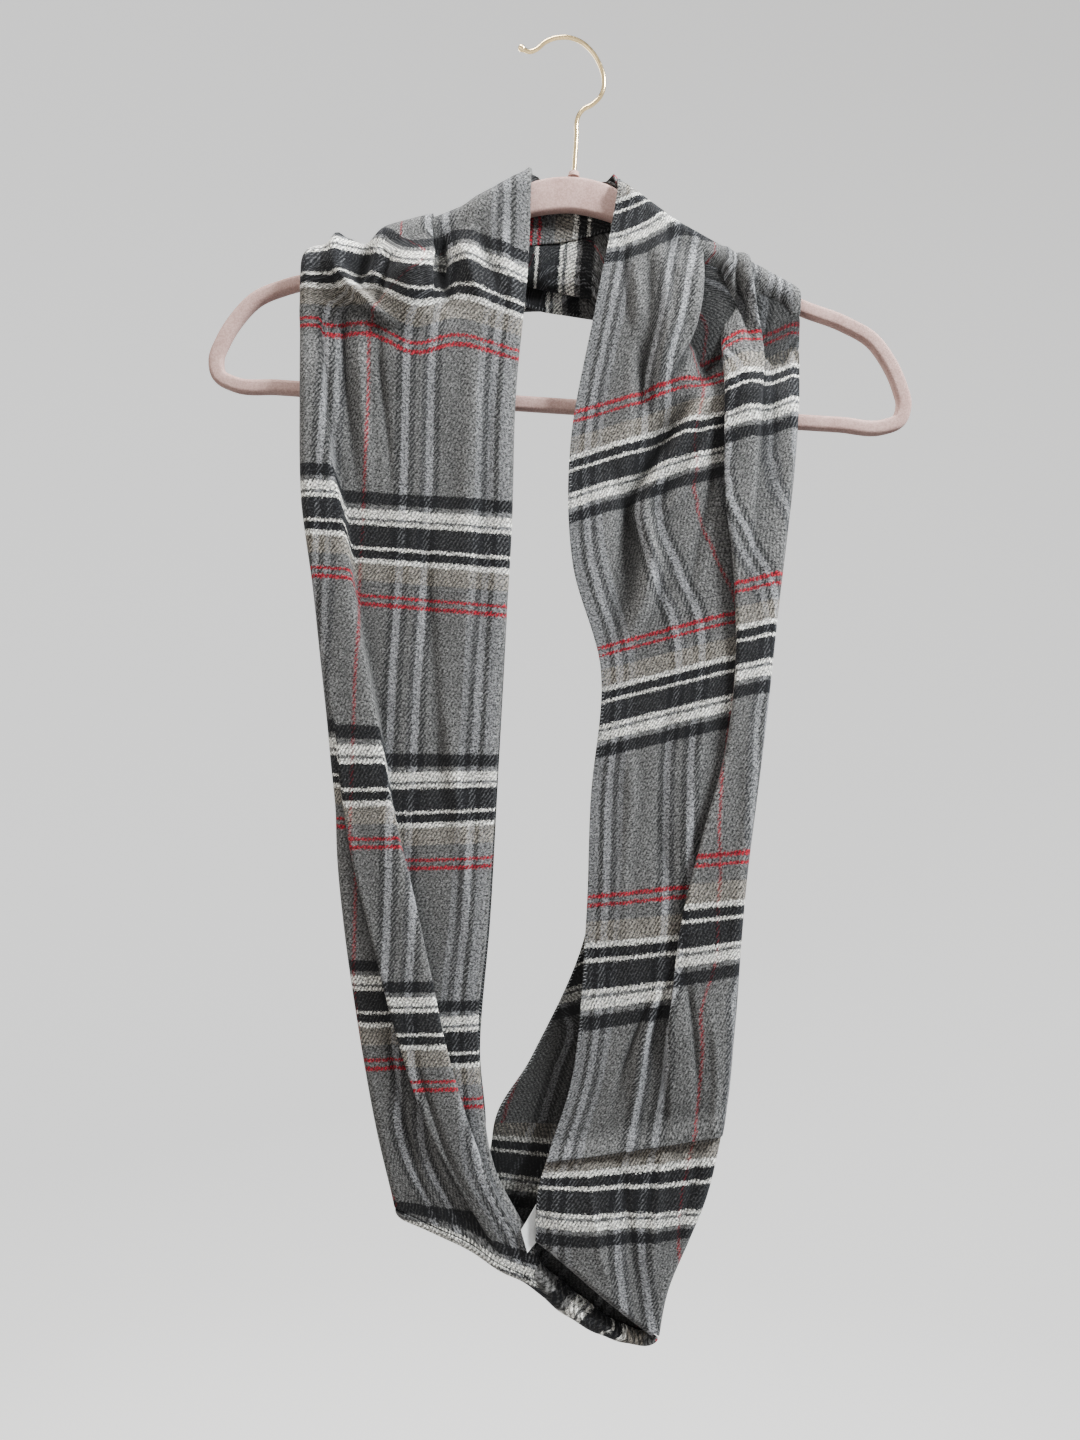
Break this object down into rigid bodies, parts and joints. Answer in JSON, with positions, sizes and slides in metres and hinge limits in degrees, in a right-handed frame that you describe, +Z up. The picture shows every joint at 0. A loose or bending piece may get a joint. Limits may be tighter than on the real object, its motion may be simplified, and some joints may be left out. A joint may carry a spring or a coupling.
{
  "type": "loop scarf on a clothes hanger",
  "caption": "Loop scarf of brushed twill, folded lengthwise and hung over the arms of a slim clothes hanger with a wire hook.",
  "frame": {"origin": "inside top of the hanger's wire hook, where it hangs on its nail or rail", "axes": "+Z up, the scarf's front faces -Y, the hanger's bar runs along X with its right end a little lower"},
  "size_m": [0.4482, 0.0489, 0.8309],
  "materials": {
    "frame_flock": "dusty pink flocked plastic",
    "collar_flock": "dusty pink flocked plastic",
    "gold_wire": "bright gold coloured wire",
    "scarf_twill": "soft brushed twill in grey, charcoal, off-white and red",
    "label_weave": "plain white woven label"
  },
  "bodies": {
    "root": {"hanger_frame": "frame_flock", "hanger_collar": "collar_flock", "hanger_hook": "gold_wire", "right_leg": "scarf_twill", "right_tail": "scarf_twill", "left_leg": "scarf_twill", "neck_fold": "scarf_twill", "neck_wrap": "scarf_twill", "bottom_turn": "scarf_twill", "bottom_roll": "scarf_twill", "seam_lip": "scarf_twill", "care_label": "label_weave"}
  },
  "joints": []
}
